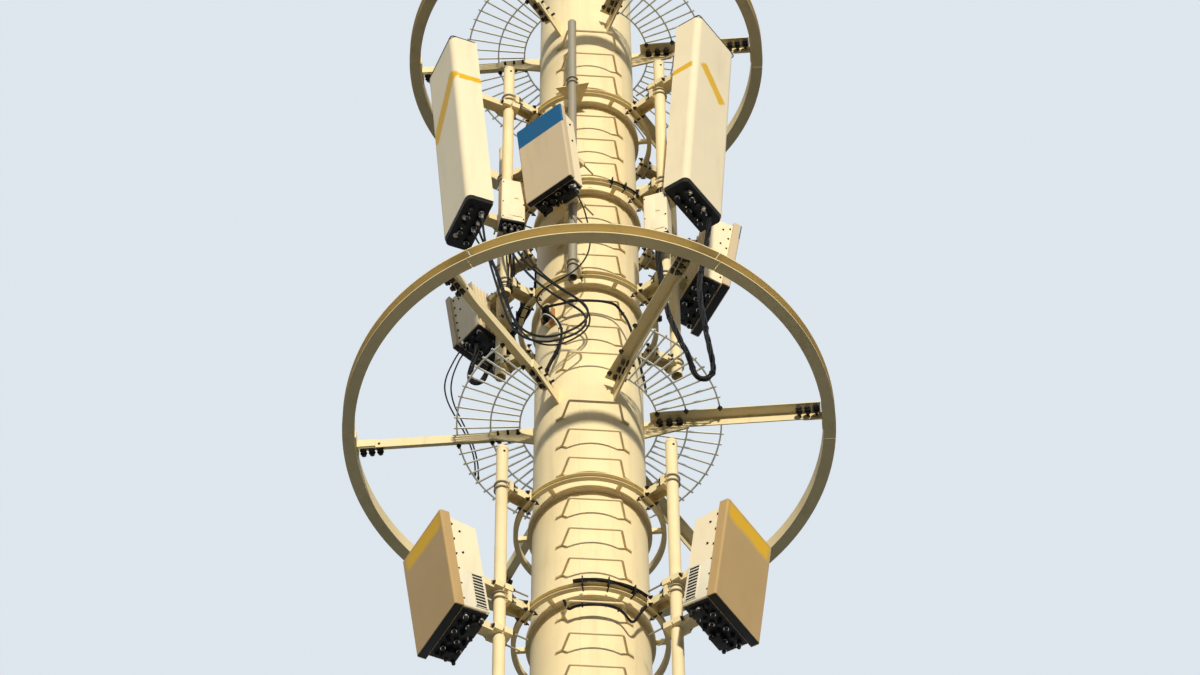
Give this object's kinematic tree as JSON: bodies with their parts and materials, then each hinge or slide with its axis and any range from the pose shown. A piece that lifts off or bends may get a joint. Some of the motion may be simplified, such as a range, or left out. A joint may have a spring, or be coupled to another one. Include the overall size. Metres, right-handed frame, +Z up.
{
  "type": "cell tower",
  "caption": "Tapering round steel pole with wide rings on arms, hoops, climbing rungs and pipes that carry panel and flat antennas.",
  "frame": {"origin": "centre of the underside of the base flange", "axes": "+Z up the pole; the climbing rungs and the pictured side face -Y; +X to the right of that view"},
  "size_m": [3.1998, 3.1998, 32.97],
  "materials": {
    "cream_paint": "satin weathered paint",
    "galvanised_steel": "dull galvanised",
    "panel_cover": "matt, sun-aged",
    "flat_cover": "matt, sun-aged",
    "grey_cover": "matt, sun-aged",
    "cast_casing": "powder coat",
    "black_plastic": "matt",
    "black_cable": "semi-matt jacket"
  },
  "bodies": {
    "root": {"base_flange": "cream_paint", "base_ribs": "cream_paint", "cable_port": "cream_paint", "front_antenna_bodies": "cast_casing", "front_antenna_clamps": "galvanised_steel", "front_pipe": "galvanised_steel", "front_pipe_clamps": "galvanised_steel", "front_radomes": "grey_cover", "front_unit_cable": "black_cable", "hoop_tied_cables": "black_cable", "left_drop_tied_bundle": "black_cable", "left_hanging_cable_a": "black_cable", "left_hanging_cable_b": "black_cable", "lightning_rod": "galvanised_steel", "lower_antenna_bodies": "cast_casing", "lower_antenna_clamps": "galvanised_steel", "lower_mount_pipes": "cream_paint", "lower_pipe_brackets": "cream_paint", "lower_radomes": "flat_cover", "lower_tier_bottom_hoop": "cream_paint", "lower_tier_middle_hoop": "cream_paint", "lower_tier_rungs": "cream_paint", "lower_tier_top_hoop": "cream_paint", "mid_arm_lugs": "cream_paint", "mid_arm_stubs": "cream_paint", "mid_grille": "cream_paint", "mid_ring": "cream_paint", "mid_ring_arms": "cream_paint", "panel_clamps": "galvanised_steel", "panel_end_caps": "black_plastic", "panel_radomes": "panel_cover", "pole_cap": "cream_paint", "pole_lower_section": "cream_paint", "pole_middle_section": "cream_paint", "pole_upper_section": "cream_paint", "port_seal": "black_plastic", "port_tied_cables": "black_cable", "radio_clamps": "galvanised_steel", "radio_loop_cable_a": "black_cable", "radio_loop_cable_b": "black_cable", "radio_loop_cable_c": "black_cable", "radio_units": "cast_casing", "rear_antenna_bodies": "cast_casing", "rear_antenna_clamps": "galvanised_steel", "rear_radomes": "flat_cover", "right_loop_tied_bundle": "black_cable", "shaft_rungs": "cream_paint", "upper_arm_lugs": "cream_paint", "upper_arm_stubs": "cream_paint", "upper_grille": "cream_paint", "upper_mount_pipes": "cream_paint", "upper_pipe_brackets": "cream_paint", "upper_ring": "cream_paint", "upper_ring_arms": "cream_paint", "upper_tier_bottom_hoop": "cream_paint", "upper_tier_middle_hoop": "cream_paint", "upper_tier_rungs": "cream_paint", "upper_tier_top_hoop": "cream_paint"}
  },
  "joints": []
}
